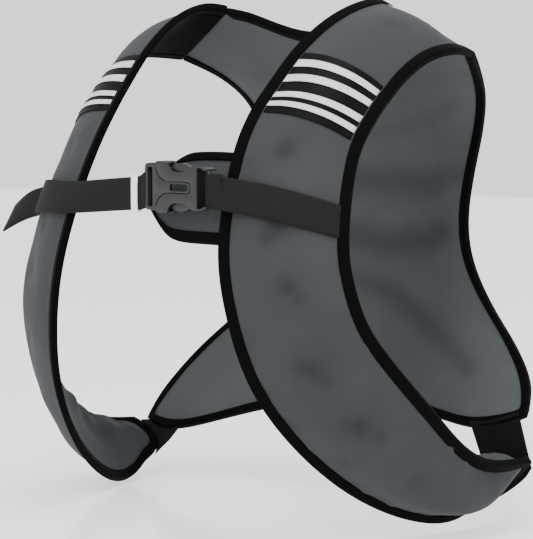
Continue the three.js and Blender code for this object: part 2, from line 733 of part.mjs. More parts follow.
function sideElastic(side) {
  const half = SIDE_ELASTIC_THICKNESS / 2;
  const tipRow = frontGrids[side].grid.length - 1;
  const tip = frontGrids[side].edgePath.filter((point) => point.row === tipRow);
  const hem = backEdge.filter((point) => point.step === BACK_DOWN_STEPS);
  const cornerSteps = BACK_SIDE_STEPS / 2 + 1;
  const corner = side > 0 ? hem.slice(-cornerSteps) : hem.slice(0, cornerSteps).reverse();
  const rows = [];
  for (let step = 0; step <= ELASTIC_STEPS; step += 1) {
    const row = [];
    for (let column = 0; column <= ELASTIC_COLUMNS; column += 1) {
      const share = column / ELASTIC_COLUMNS;
      const from = outsideTape(tip, mixNumber(...ELASTIC_TIP_SPAN, share), side);
      const to = outsideTape(corner, mixNumber(...ELASTIC_CORNER_SPAN, share), 1);
      const place = mix(from.place, to.place, step / ELASTIC_STEPS);
      const normal = mix(from.normal, to.normal, step / ELASTIC_STEPS).normalize();
      row.push({ place, normal, front: half, back: half });
    }
    rows.push(row);
  }
  return strip(rows);
}
add('left_side_elastic', sideElastic(1), 'webbing');
add('right_side_elastic', sideElastic(-1), 'webbing');

// Buckle. Its own axes: along the strap from the wearer's right to the left, up, and forward.
const buckleFrame = frontPanels[1].frameAt(LEFT_STRAP_STATION);
const buckleUp = buckleFrame.neck.z + BUCKLE_RISE;
const buckleY = -FRONT_REACH + BUCKLE_SETBACK;
const clipBarX = BUCKLE_OFF_CENTRE - BUCKLE_LENGTH / 2 + BAR_DIAMETER / 2;
const socketBarX = BUCKLE_OFF_CENTRE + BUCKLE_LENGTH / 2 - BAR_DIAMETER / 2;

function toManifold(geometry) {
  const bare = geometry.clone();
  bare.deleteAttribute('normal');
  bare.deleteAttribute('uv');
  const merged = mergeVertices(bare, 1e-4);
  return new wasm.Manifold(new wasm.Mesh({
    numProp: 3,
    vertProperties: new Float32Array(merged.attributes.position.array),
    triVerts: new Uint32Array(merged.index.array),
  }));
}

function fromManifold(solid) {
  const mesh = solid.getMesh();
  const geometry = new THREE.BufferGeometry();
  geometry.setAttribute('position', new THREE.BufferAttribute(new Float32Array(mesh.vertProperties), 3));
  geometry.setIndex(new THREE.BufferAttribute(new Uint32Array(mesh.triVerts), 1));
  geometry.computeVertexNormals();
  return geometry;
}

// A flat shape in the buckle's own plane, given its thickness centred on that plane
function slab(outline, thickness, bevel = 0) {
  const geometry = new THREE.ExtrudeGeometry(new THREE.Shape(outline), {
    depth: thickness - 2 * bevel,
    bevelEnabled: bevel > 0,
    bevelThickness: bevel,
    bevelSize: bevel,
    bevelOffset: -bevel,
    bevelSegments: 1,
  });
  geometry.translate(0, 0, bevel - thickness / 2);
  geometry.rotateX(Math.PI / 2);
  return toManifold(geometry);
}

function block(fromX, toX, fromZ, toZ, thickness) {
  const geometry = new THREE.BoxGeometry(toX - fromX, thickness, toZ - fromZ);
  geometry.translate((fromX + toX) / 2, 0, (fromZ + toZ) / 2);
  return toManifold(geometry);
}

function roundBar(x, length) {
  const geometry = new THREE.CylinderGeometry(BAR_DIAMETER / 2, BAR_DIAMETER / 2, length, 12);
  geometry.rotateX(Math.PI / 2);
  geometry.translate(x, 0, 0);
  return toManifold(geometry);
}

const halfHeight = BUCKLE_HEIGHT / 2;
const halfSlot = SLOT_LENGTH / 2;
const clipStart = -BUCKLE_LENGTH / 2;
const socketEnd = BUCKLE_LENGTH / 2;
const CUT_PAST = 1;

// A table of points as shares, mirrored about the buckle's long axis
function mirroredOutline(table, lengthUnit, heightUnit, from) {
  const upper = table.map((point) => new THREE.Vector2(from + point.along * lengthUnit, point.up * heightUnit));
  const lower = upper.slice().reverse().map((point) => new THREE.Vector2(point.x, -point.y));
  return [...upper, ...lower].reverse();
}

// The two prong windows open the long sides of the socket
const socketStart = clipStart + CLIP_LENGTH + FIT_GAP;
const cavityHalf = halfHeight * CAVITY_HEIGHT;
const cavityEnd = socketStart + CAVITY_DEPTH;
const windowStart = socketStart + WINDOW_START;
const windowEnd = windowStart + WINDOW_LENGTH;
const cavityThickness = BUCKLE_THICKNESS - 2 * SOCKET_WALL;
const slotStart = socketEnd - BAR_DIAMETER - SLOT_WIDTH;
let socket = slab(mirroredOutline(socketOutline, BUCKLE_LENGTH, halfHeight, clipStart), BUCKLE_THICKNESS, SOCKET_BEVEL)
  .subtract(block(slotStart, socketEnd + CUT_PAST, -halfSlot, halfSlot, BUCKLE_THICKNESS + CUT_PAST))
  .subtract(block(socketStart - CUT_PAST, cavityEnd, -cavityHalf, cavityHalf, cavityThickness));
for (const side of [1, -1]) {
  const ends = [side * (cavityHalf - WINDOW_BITE), side * (halfHeight + CUT_PAST)].sort((a, b) => a - b);
  socket = socket.subtract(block(windowStart, windowEnd, ...ends, cavityThickness));
}
socket = socket.add(roundBar(socketEnd - BAR_DIAMETER / 2, SLOT_LENGTH + CUT_PAST));

// Clip: a base with a slot for the strap, its round bar, two prongs and a short middle guide
const baseHalf = halfSlot + CLIP_RAIL;
const prongRoot = clipStart + CLIP_LENGTH - CUT_PAST;
let clip = block(clipStart, clipStart + CLIP_LENGTH, -baseHalf, baseHalf, CLIP_THICKNESS)
  .subtract(block(clipStart - CUT_PAST, clipStart + CLIP_LENGTH - CLIP_RAIL, -halfSlot, halfSlot, CLIP_THICKNESS + CUT_PAST))
  .add(roundBar(clipStart + BAR_DIAMETER / 2, SLOT_LENGTH + CUT_PAST))
  .add(block(prongRoot, cavityEnd - GUIDE_SHORT, -GUIDE_HALF, GUIDE_HALF, CLIP_THICKNESS - CUT_PAST));
for (const side of [1, -1]) {
  const prong = prongOutline.map((point) => new THREE.Vector2(prongRoot + point.along * (windowEnd - prongRoot),
    side * point.up * cavityHalf));
  clip = clip.add(slab(side > 0 ? prong : prong.reverse(), CLIP_THICKNESS));
}

for (const [name, solid] of [['buckle_socket', socket], ['buckle_clip', clip]]) {
  const piece = add(name, fromManifold(solid), 'acetal');
  piece.position.set(BUCKLE_OFF_CENTRE, buckleY, buckleUp);
}

// Strap rows: where it lies on a front panel it follows the panel's face, and where it is free
// it runs straight in plan. Each row has its upper, middle and lower points.
const halfStrap = STRAP_THICKNESS / 2;

function strapRowOnPanel(side, centreStation, share, lift) {
  const panel = frontPanels[side];
  const step = STATION_STEP;
  const low = panel.pointAt(centreStation + step, share).place;
  const high = panel.pointAt(centreStation - step, share).place;
  const stationsPerLength = 2 * step / low.distanceTo(high);
  return [-1, 0, 1].map((edge) => {
    const station = centreStation + edge * STRAP_WIDTH / 2 * stationsPerLength;
    const { place, normal, front } = panel.pointAt(station, share);
    const lifted = place.clone().addScaledVector(normal, front + lift + halfStrap);
    return { place: new THREE.Vector3(side * lifted.x, lifted.y, lifted.z),
      normal: new THREE.Vector3(side * normal.x, normal.y, normal.z), front: halfStrap, back: halfStrap };
  });
}

// The same over the neck edge's tape, at the very edge of the panel
function strapRowOnTape(side, centreStation, lift) {
  const panel = frontPanels[side];
  const { neck, normal } = panel.frameAt(centreStation);
  const { neck: high } = panel.frameAt(centreStation - STATION_STEP);
  const { neck: low } = panel.frameAt(centreStation + STATION_STEP);
  const upward = high.sub(low).normalize();
  const rise = PANEL_EDGE / 2 + FIT_GAP + BINDING_WALL + lift + halfStrap;
  return [1, 0, -1].map((edge) => {
    const lifted = neck.clone().addScaledVector(normal, rise).addScaledVector(upward, edge * STRAP_WIDTH / 2);
    return { place: new THREE.Vector3(side * lifted.x, lifted.y, lifted.z),
      normal: new THREE.Vector3(side * normal.x, normal.y, normal.z), front: halfStrap, back: halfStrap };
  });
}

function freeStrapRow(x, y, z, normal, bank = 0) {
  const alongStrap = new THREE.Vector3(-normal.y, normal.x, 0).normalize();
  const up = new THREE.Vector3(0, 0, 1).applyAxisAngle(alongStrap, bank);
  return [1, 0, -1].map((edge) => ({
    place: new THREE.Vector3(x, y, z).addScaledVector(up, edge * STRAP_WIDTH / 2),
    normal: normal.clone().applyAxisAngle(alongStrap, bank), front: halfStrap, back: halfStrap,
  }));
}

function flipped(row) {
  return row.map((point) => ({ ...point, normal: point.normal.clone().negate() }));
}

// Half turn of the strap round a bar, from the front of the bar to its back or the other way
const turnRadius = BAR_DIAMETER / 2 + FIT_GAP + halfStrap;
function turnRound(barX, facing, z, frontFirst) {
  const rows = [];
  const first = frontFirst ? -TURN_LEAD_STEPS : 0;
  for (let step = first; step <= TURN_STEPS; step += 1) {
    const angle = Math.PI * (frontFirst ? step : TURN_STEPS - step) / TURN_STEPS;
    const normal = new THREE.Vector3(facing * Math.sin(angle), -Math.cos(angle), 0);
    rows.push(freeStrapRow(barX + turnRadius * normal.x, buckleY + turnRadius * normal.y, z, normal));
  }
  return rows;
}

const strapZ = buckleUp - STRAP_BELOW_BUCKLE;

function leftStrap() {
  const rows = ON_PANEL_SHARES.map((share) => (
    strapRowOnPanel(1, LEFT_STRAP_STATION + LEFT_STRAP_SLOPE * share, share, STRAP_CLEARANCE)));
  rows.push(...turnRound(socketBarX, -1, strapZ, true));
  rows.push(freeStrapRow(socketBarX + STRAP_RETURN, buckleY + turnRadius, strapZ, new THREE.Vector3(0, 1, 0)));
  return strip(rows);
}
add('left_chest_strap', leftStrap(), 'webbing');

// The right strap comes off its panel behind the bar of the clip, turns round the bar and runs
// back over itself through the keeper. Its end hangs free beyond the panel.
const keeperX = clipBarX - KEEPER_OFFSET;
const keeperZ = strapZ - KEEPER_DROP;
const layerPitch = STRAP_THICKNESS + LAYER_GAP;

function rightStrap() {
  const forward = new THREE.Vector3(0, -1, 0);
  const throughKeeper = (layer) => [
    freeStrapRow(clipBarX - BAR_DIAMETER, buckleY - layer * (turnRadius - FIT_GAP), strapZ, forward),
    freeStrapRow(keeperX + KEEPER_WIDTH, buckleY - layer * layerPitch / 2, keeperZ, forward),
    freeStrapRow(keeperX - KEEPER_WIDTH, buckleY - layer * layerPitch / 2, keeperZ, forward),
  ];
  const onPanel = (lift) => ON_PANEL_SHARES.map((share) => strapRowOnPanel(-1, RIGHT_STRAP_STATION, share, lift));
  const upperLift = STRAP_CLEARANCE + layerPitch;
  const outer = onPanel(upperLift).reverse();
  const rows = [
    ...onPanel(STRAP_CLEARANCE),
    strapRowOnTape(-1, RIGHT_STRAP_STATION, STRAP_CLEARANCE),
    ...throughKeeper(-1).reverse(),
    ...turnRound(clipBarX, 1, strapZ, false).map(flipped),
    ...throughKeeper(1).map(flipped),
    flipped(strapRowOnTape(-1, RIGHT_STRAP_STATION, upperLift)),
    ...outer.map(flipped),
  ];
  const leaving = outer[outer.length - 1][1].place;
  for (const share of [0.5, 1]) {
    rows.push(flipped(freeStrapRow(leaving.x - TAIL_OVERHANG * share, leaving.y,
      leaving.z - TAIL_FALL * share * share, forward, -TAIL_BANK * share)));
  }
  return strip(rows);
}
add('right_chest_strap', rightStrap(), 'webbing');

// Keeper: a short band round both layers of the right strap, beside the clip
function keeper() {
  const halfStack = layerPitch / 2 + halfStrap + KEEPER_PLAY;
  const halfOpening = STRAP_WIDTH / 2 + KEEPER_PLAY;
  const outside = block(-KEEPER_WIDTH / 2, KEEPER_WIDTH / 2, -halfOpening - KEEPER_WALL, halfOpening + KEEPER_WALL,
    2 * (halfStack + KEEPER_WALL));
  return outside.subtract(block(-KEEPER_WIDTH, KEEPER_WIDTH, -halfOpening, halfOpening, 2 * halfStack));
}
add('strap_keeper', fromManifold(keeper()), 'reflective').position.set(keeperX, buckleY, keeperZ);

// Padded tab behind the buckle. It is sewn behind the neck edge of the left front panel and
// ends free and rounded under the clip. u runs from the sewn end, v from the top down.
const padHalf = PANEL_EDGE / 2 + PAD_PUFF;
const tapeSkin = PANEL_EDGE / 2 + FIT_GAP + BINDING_WALL;
const padMiddleStation = LEFT_STRAP_STATION + PAD_STATION_OFFSET;

function padFull(u, v) {
  const panel = frontPanels[1];
  const station = padMiddleStation + v * PAD_HALF_STATIONS;
  const frame = panel.frameAt(station);
  const tucked = panel.pointAt(station, PAD_TUCK_SHARE);
  const under = tucked.place.addScaledVector(frame.normal, -tucked.back - PAD_CLEARANCE - padHalf);
  const edge = frame.neck.clone().addScaledVector(frame.normal, -tapeSkin - PAD_CLEARANCE - padHalf);
  const end = new THREE.Vector3(PAD_END_X, edge.y + PAD_END_BACK, edge.z);
  const middle = edge.clone().setX(mixNumber(edge.x, end.x, 0.5));
  return new THREE.CatmullRomCurve3([under, edge, middle, end]).getPoint(u);
}

function padMiddle(u, v) {
  const pastCorner = Math.max((u - PAD_ROUND_FROM) / (1 - PAD_ROUND_FROM), 0);
  const narrowing = Math.sqrt(1 - PAD_END_NARROWING * pastCorner ** 2.4);
  return mix(padFull(u, 0), padFull(u, v), narrowing);
}

function padPoint(u, v) {
  const step = 0.02;
  const along = padMiddle(Math.min(u + step, 1), v).sub(padMiddle(Math.max(u - step, 0), v));
  const down = padMiddle(u, Math.min(v + step, 1)).sub(padMiddle(u, Math.max(v - step, -1)));
  return { place: padMiddle(u, v), normal: along.cross(down).normalize() };
}

function padGrid() {
  const halfTall = padMiddle(0.5, 0).distanceTo(padMiddle(0.5, 1));
  const long = padMiddle(0, 0).distanceTo(padMiddle(1, 0));
  const insideV = 1 - BINDING_WIDTH / halfTall;
  const insideU = 1 - BINDING_WIDTH / long;
  const grid = [];
  const edgePath = [];
  for (let row = 0; row <= PAD_ROWS; row += 1) {
    const u = insideU * row / PAD_ROWS;
    const points = [];
    for (let column = 0; column <= PAD_COLUMNS; column += 1) {
      const v = insideV * (2 * column / PAD_COLUMNS - 1);
      const swell = (1 - (v / insideV) ** 4) * (1 - (u / insideU) ** 6);
      const thickness = PANEL_EDGE / 2 + PAD_PUFF * swell;
      points.push({ ...padPoint(u, v), front: thickness, back: thickness, v });
    }
    grid.push(points);
  }
  function edgePoint(row, column, u, v) {
    const place = padMiddle(u, v);
    const { place: lip, normal } = grid[row][column];
    edgePath.push({ row, column, edge: place, place, lip, normal, front: PANEL_EDGE / 2, back: PANEL_EDGE / 2 });
  }
  for (let row = 0; row < PAD_ROWS; row += 1) {
    edgePoint(row, 0, insideU * row / PAD_ROWS, -1);
  }
  for (let column = 0; column <= PAD_COLUMNS; column += 1) {
    edgePoint(PAD_ROWS, column, 1, grid[PAD_ROWS][column].v);
  }
  for (let row = PAD_ROWS - 1; row >= 0; row -= 1) {
    edgePoint(row, PAD_COLUMNS, insideU * row / PAD_ROWS, 1);
  }
  return { grid, edgePath };
}

const pad = padGrid();
add('chest_pad', edgedSheet(pad), 'neoprene');
add('chest_pad_binding', foldedTape(pad.edgePath), 'tape');

export default vest;
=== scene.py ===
import math

import bmesh
import bpy
import numpy as np
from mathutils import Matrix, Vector, noise
from mathutils.kdtree import KDTree


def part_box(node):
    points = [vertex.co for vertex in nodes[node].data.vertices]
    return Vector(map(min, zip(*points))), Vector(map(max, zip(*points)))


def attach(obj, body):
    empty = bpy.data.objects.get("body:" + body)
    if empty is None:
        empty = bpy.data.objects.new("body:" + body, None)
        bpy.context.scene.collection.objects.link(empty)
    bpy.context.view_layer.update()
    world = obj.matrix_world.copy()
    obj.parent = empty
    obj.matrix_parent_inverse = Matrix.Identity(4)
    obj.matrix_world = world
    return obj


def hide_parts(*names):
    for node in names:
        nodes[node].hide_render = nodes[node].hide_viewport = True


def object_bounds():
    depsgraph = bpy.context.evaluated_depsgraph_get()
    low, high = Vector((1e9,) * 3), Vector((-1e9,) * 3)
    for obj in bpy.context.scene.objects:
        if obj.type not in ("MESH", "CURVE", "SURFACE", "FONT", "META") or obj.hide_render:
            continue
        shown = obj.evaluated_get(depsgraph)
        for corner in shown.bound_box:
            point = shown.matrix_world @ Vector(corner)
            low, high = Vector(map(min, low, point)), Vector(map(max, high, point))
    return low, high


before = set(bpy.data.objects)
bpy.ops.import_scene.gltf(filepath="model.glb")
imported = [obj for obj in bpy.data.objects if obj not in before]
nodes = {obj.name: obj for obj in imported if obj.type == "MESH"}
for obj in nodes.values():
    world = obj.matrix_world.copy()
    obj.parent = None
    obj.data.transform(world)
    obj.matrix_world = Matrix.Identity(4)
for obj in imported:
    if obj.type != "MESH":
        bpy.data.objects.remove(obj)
cad_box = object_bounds()

# Millimetres in a metre, and two axes by number: x to the wearer's left, and z up
MM = 1000
X = 0
Z = 2


# Nodes and materials
def linear(code):
    parts = [int(code[i:i + 2], 16) / 255 for i in (1, 3, 5)]
    return [p / 12.92 if p <= 0.04045 else ((p + 0.055) / 1.055) ** 2.4 for p in parts] + [1.0]


def new_material(name, settings):
    material = bpy.data.materials.new(name)
    material.use_nodes = True
    shader = material.node_tree.nodes["Principled BSDF"]
    for key, value in settings.items():
        shader.inputs[key].default_value = value
    return material


def add_node(material, kind, settings=(), links=()):
    tree = material.node_tree
    node = tree.nodes.new(kind)
    for key, value in dict(settings).items():
        if isinstance(key, str) and hasattr(node, key):
            setattr(node, key, value)
        else:
            node.inputs[key].default_value = value
    for socket, source in dict(links).items():
        tree.links.new(source, node.inputs[socket])
    return node


def drive(material, socket, source):
    tree = material.node_tree
    tree.links.new(source, tree.nodes["Principled BSDF"].inputs[socket])


def object_noise(material, **settings):
    place = add_node(material, "ShaderNodeTexCoord")
    texture = add_node(material, "ShaderNodeTexNoise", settings, {"Vector": place.outputs["Object"]})
    return texture.outputs["Fac"]


def add_relief(material, height, strength, distance):
    bump = add_node(material, "ShaderNodeBump", {"Strength": strength, "Distance": distance},
                    {"Height": height})
    drive(material, "Normal", bump.outputs["Normal"])


# Sockets of a mix node that are for colours, by number
COLOUR_A = 6
COLOUR_B = 7
COLOUR_MIXED = 2


def mixed_colour(material, factor, dark, light):
    mix = add_node(material, "ShaderNodeMix",
                   {"data_type": "RGBA", COLOUR_A: linear(dark), COLOUR_B: linear(light)},
                   {"Factor": factor})
    return mix.outputs[COLOUR_MIXED]


# The studio: a glossy white floor under soft boxes. The camera stands at the wearer's front left,
# a little below the shoulders, and looks slightly down. The vest hangs just above the floor.
def aim(thing, place, target):
    thing.location = place
    thing.rotation_euler = (Vector(target) - Vector(place)).to_track_quat("-Z", "Y").to_euler()


# The focal length that gives the photograph's perspective, then the photograph's taller side, the
# middle of its width and the place of the vest's middle across it, all in pixels
FOCAL_PIXELS = 2150
TALL_SIDE_PIXELS = 539
MIDDLE_PIXEL = 266.5
VEST_MIDDLE_PIXEL = 291

# The camera's angles in degrees, its place in metres and its sensor in mm
ROUND_TO_LEFT = 40
LOOKING_DOWN = 5.04
CAMERA_PLACE = Vector((1.125, -1.341, -0.056))
SENSOR_WIDTH = 36

camera_data = bpy.data.cameras.new("camera")
camera_data.lens = FOCAL_PIXELS / TALL_SIDE_PIXELS * SENSOR_WIDTH
camera_data.sensor_width = SENSOR_WIDTH
camera = bpy.data.objects.new("camera", camera_data)
bpy.context.scene.collection.objects.link(camera)
turn = math.radians(ROUND_TO_LEFT) + math.atan((VEST_MIDDLE_PIXEL - MIDDLE_PIXEL) / FOCAL_PIXELS)
drop = math.radians(LOOKING_DOWN)
ahead = Vector((-math.sin(turn) * math.cos(drop), math.cos(turn) * math.cos(drop), -math.sin(drop)))
aim(camera, CAMERA_PLACE, CAMERA_PLACE + ahead)
bpy.context.scene.camera = camera

SKY_STRENGTH = 1.45
world = bpy.data.worlds.new("white studio")
world.use_nodes = True
sky = world.node_tree.nodes["Background"]
sky.inputs["Color"].default_value = linear("#ffffff")
sky.inputs["Strength"].default_value = SKY_STRENGTH
bpy.context.scene.world = world

# Each soft box has a place in metres and a power in watts, and faces the middle of the vest
SOFTBOX_SIZE = 0.8
VEST_MIDDLE = (0, 0, -0.2)
for name, place, power in (
    ("key softbox", (0.6, -1.5, 1.25), 19),
    ("top softbox", (0.3, -0.2, 1.5), 16),
    ("side softbox", (1.7, 0.3, 0.6), 7),
    ("fill softbox", (0.5, -1.9, 0.1), 9),
):
    light = bpy.data.lights.new(name, "AREA")
    light.shape = "SQUARE"
    light.size = SOFTBOX_SIZE
    light.energy = power
    lamp = bpy.data.objects.new(name, light)
    bpy.context.scene.collection.objects.link(lamp)
    aim(lamp, place, VEST_MIDDLE)

FLOOR_HALF_WIDTH = 4
FLOOR_BELOW_VEST = 0.0015
floor_bm = bmesh.new()
bmesh.ops.create_grid(floor_bm, x_segments=1, y_segments=1, size=FLOOR_HALF_WIDTH)
bmesh.ops.translate(floor_bm, verts=floor_bm.verts, vec=(0, 0, cad_box[0][Z] - FLOOR_BELOW_VEST))
floor_mesh = bpy.data.meshes.new("floor")
floor_bm.to_mesh(floor_mesh)
floor_bm.free()
floor = bpy.data.objects.new("floor", floor_mesh)
bpy.context.scene.collection.objects.link(floor)
floor_mesh.materials.append(new_material("white acrylic sweep", {
    "Base Color": linear("#ffffff"), "Roughness": 0.16, "IOR": 1.38,
    "Emission Color": linear("#ffffff"), "Emission Strength": 0.35,
}))


# Soft pieces are made from the frame's own meshes: triangles that turn less than JOINED_BELOW are
# joined in pairs, edges that turn more than CREASED_ABOVE are creased, and the whole is rounded by
# subdivision. A corner of 1 keeps the crease sharp, and less lets it round off.
MERGE_DISTANCE = 0.00002
JOINED_BELOW = math.radians(70)
SQUARE_WITHIN = math.radians(100)
CREASED_ABOVE = math.radians(50)


def settle(obj):
    bpy.context.scene.collection.objects.link(obj)
    for polygon in obj.data.polygons:
        polygon.use_smooth = True
    return obj


def cloth_from(node, name, levels, corner=1.0):
    rough = bmesh.new()
    rough.from_mesh(nodes[node].data)
    bmesh.ops.remove_doubles(rough, verts=rough.verts, dist=MERGE_DISTANCE)
    bmesh.ops.join_triangles(rough, faces=rough.faces, angle_face_threshold=JOINED_BELOW,
                             angle_shape_threshold=SQUARE_WITHIN)
    crease = rough.edges.layers.float.new("crease_edge")
    for edge in rough.edges:
        if edge.calc_face_angle(0) > CREASED_ABOVE:
            edge[crease] = corner
    mesh = bpy.data.meshes.new(name)
    rough.to_mesh(mesh)
    rough.free()
    cage = bpy.data.objects.new(name + "_cage", mesh)
    bpy.context.scene.collection.objects.link(cage)
    rounder = cage.modifiers.new("round", "SUBSURF")
    rounder.levels = levels
    rounder.render_levels = levels
    graph = bpy.context.evaluated_depsgraph_get()
    fine = bpy.data.meshes.new_from_object(cage.evaluated_get(graph))
    bpy.data.objects.remove(cage)
    fine.name = name
    fine.materials.clear()
    return settle(bpy.data.objects.new(name, fine))


def take_on(obj, material, slot, *replaced):
    obj.data.materials.append(material)
    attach(obj, "root")
    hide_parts(*replaced)


# Sculpting: press, fold and ruffle move the points of a piece along their normals, and free says
# how far each point may follow, from 0 to 1. A point is held where it is within HELD_WITHIN of a
# sewn piece, and goes free over the next EASED_OVER, both in metres. Where dimples and folds sink in,
# painted shade is put into the cloth's colour, which grows by 1 for each FULL_DENT mm of depth.
HELD_WITHIN = 0.005
EASED_OVER = 0.014
FULL_DENT = 3
DIMPLE_STEEPNESS = 2
SEED_STEPS = (3.7, 1.3, 2.1)


def tree_of(*names):
    spots = [vertex.co for name in names for vertex in nodes[name].data.vertices]
    tree = KDTree(len(spots))
    for number, spot in enumerate(spots):
        tree.insert(spot, number)
    tree.balance()
    return tree


def hold_edges(obj, *names):
    tree = tree_of(*names)
    shares = [(tree.find(v.co)[2] - HELD_WITHIN) / EASED_OVER for v in obj.data.vertices]
    return [max(0, min(1, share)) for share in shares]


def push_out(obj, free, heights):
    moves = [v.normal * (height * share) for v, share, height in zip(obj.data.vertices, free, heights)]
    for vertex, move in zip(obj.data.vertices, moves):
        vertex.co += move


# Painted shade: stores how far the cloth's colour is darkened in each dimple and hollow
def darken_dents(obj, heights):
    layer = obj.data.attributes.get("dent") or obj.data.attributes.new("dent", "FLOAT", "POINT")
    for item, height in zip(layer.data, heights):
        item.value += max(0, -height * MM) / FULL_DENT


def press(obj, free, spots):
    heights = []
    for vertex in obj.data.vertices:
        height = 0
        for x, y, z, radius, deep in spots:
            away = (vertex.co - Vector((x, y, z)) / MM).length / (radius / MM)
            height -= deep / MM * math.exp(-DIMPLE_STEEPNESS * away * away)
        heights.append(height)
    push_out(obj, free, heights)
    darken_dents(obj, heights)


def fold(obj, free, points, width, high):
    marks = [Vector(p) / MM for p in points]
    heights = []
    for vertex in obj.data.vertices:
        nearest = math.inf
        for a, b in zip(marks, marks[1:]):
            share = max(0, min(1, (vertex.co - a).dot(b - a) / (b - a).length_squared))
            nearest = min(nearest, (vertex.co - a.lerp(b, share)).length)
        away = nearest / (width / MM)
        heights.append(high / MM * math.exp(-away * away))
    push_out(obj, free, heights)
    darken_dents(obj, heights)


def ruffle(obj, free, height, size, seed, stretch=(1, 1, 1)):
    offset = Vector([seed * step for step in SEED_STEPS])
    heights = []
    for vertex in obj.data.vertices:
        place = Vector([vertex.co[i] * stretch[i] for i in range(3)])
        heights.append(noise.noise(place / size + offset) * height)
    push_out(obj, free, heights)


# Jersey-faced neoprene: a matt gray cloth. The knit is a fine grain, the dye is a little uneven
# over a few centimetres, painted shade darkens it in the dimples and hollows, and it has a faint sheen
# edge-on.
# How much painted shade each unit of the dent attribute puts into the colour
DENT_SHADE = 0.34


def jersey_neoprene(name, dark, light):
    material = new_material(name, {
        "Roughness": 0.82, "IOR": 1.45, "Specular IOR Level": 0.15,
        "Sheen Weight": 0.1, "Sheen Roughness": 0.5, "Sheen Tint": linear("#aab0b6"),
    })
    dye = object_noise(material, Scale=22, Detail=3, Roughness=0.55)
    shade = mixed_colour(material, dye, dark, light)
    # Painted shade: the colour is mixed towards #1c1e20 where the cloth is dented
    dent = add_node(material, "ShaderNodeAttribute", {"attribute_name": "dent"})
    share = add_node(material, "ShaderNodeMath",
                     {"operation": "MULTIPLY", "use_clamp": True, 1: DENT_SHADE},
                     {0: dent.outputs["Fac"]})
    dent_shaded_colour = add_node(material, "ShaderNodeMix", {"data_type": "RGBA", COLOUR_B: linear("#1c1e20")},
                    {"Factor": share.outputs[0], COLOUR_A: shade})
    drive(material, "Base Color", dent_shaded_colour.outputs[COLOUR_MIXED])
    place = add_node(material, "ShaderNodeTexCoord")
    knit = add_node(material, "ShaderNodeTexVoronoi", {"Scale": 900}, {"Vector": place.outputs["Object"]})
    both = add_node(material, "ShaderNodeMath", {"operation": "ADD"},
                    {0: knit.outputs["Distance"], 1: object_noise(material, Scale=420, Detail=2)})
    add_relief(material, both.outputs[0], strength=0.25, distance=0.0004)
    return material


neoprene = jersey_neoprene("gray jersey-faced neoprene", "#2c2e30", "#35383a")
inner_neoprene = jersey_neoprene("gray neoprene, body side", "#3d4042", "#484c4e")


# Front panels: two layers of gray neoprene, faced with fine jersey and filled with heavy sand,
# cut in one piece from the shoulder seam to the tip of the wing. The filling makes them round,
# with soft dimples where it has settled. Each dimple on the left front has x, y and z in mm, how
# wide it is and how deep, and less than 0 is a swell. The right front has them mirrored, shallower.
DIMPLES = (
    (130, -35, -15, 12, 1.5),
    (113, -140, -104, 9, 2.2),
    (109, -142, -110, 8, 1.8),
    (121, -162, -158, 11, 2.6),
    (115, -167, -170, 8, 2.4),
    (134, -165, -205, 10, 2.4),
    (141, -159, -215, 8, 2.2),
    (105, -175, -245, 12, 1.5),
    (151, -154, -266, 11, 3),
    (143, -162, -263, 8, 2.4),
    (157, -148, -274, 8, 1.8),
    (170, -125, -309, 10, 3),
    (179, -112, -317, 9, 2.4),
    (163, -134, -306, 8, 1.6),
    (190, -80, -352, 13, 1.8),
    (203, -60, -325, 26, -2.5),
    (206, -25, -345, 22, -2),
    (180, -65, -350, 12, 2),
    (150, -120, -335, 11, 2),
    (125, -150, -310, 11, 1.8),
    (112, -140, -107, 24, 1.2),
    (121, -162, -162, 26, 1.4),
    (135, -165, -207, 28, 1.8),
    (150, -155, -266, 30, 2),
    (172, -123, -311, 30, 2),
)
DIMPLE_DEPTH_SHARE = {"left": 1, "right": 0.4}

# Where the body side of each wing swells over its own tape, given as the dimples are
SWELLS = {
    "left": ((198, -24, -342, 16, -5), (202, -8, -344, 20, -8), (203, 8, -343, 14, -5)),
    "right": ((-188, -72, -328, 14, -5), (-190, -48, -340, 15, -7), (-187, -22, -354, 18, -8),
              (-184, 2, -362, 15, -7)),
}
for side, way, seed in (("left", 1, 1), ("right", -1, 2)):
    panel = cloth_from(side + "_front_panel", side + "_padded_front", levels=3)
    free = hold_edges(panel, side + "_front_binding")
    share = DIMPLE_DEPTH_SHARE[side]
    press(panel, free, [(x * way, y, z, radius, deep * share) for x, y, z, radius, deep in DIMPLES])
    body_side = [1 if v.normal.x * way < 0 else 0 for v in panel.data.vertices]
    press(panel, body_side, SWELLS[side])
    calm = hold_edges(panel, side + "_front_binding", side + "_shoulder_band", side + "_shoulder_lining",
                      side + "_chest_strap")
    ruffle(panel, calm, height=0.0026, size=0.045, seed=seed)
    ruffle(panel, calm, height=0.0003, size=0.018, seed=seed + 4)
    take_on(panel, neoprene, "neoprene", side + "_front_panel")


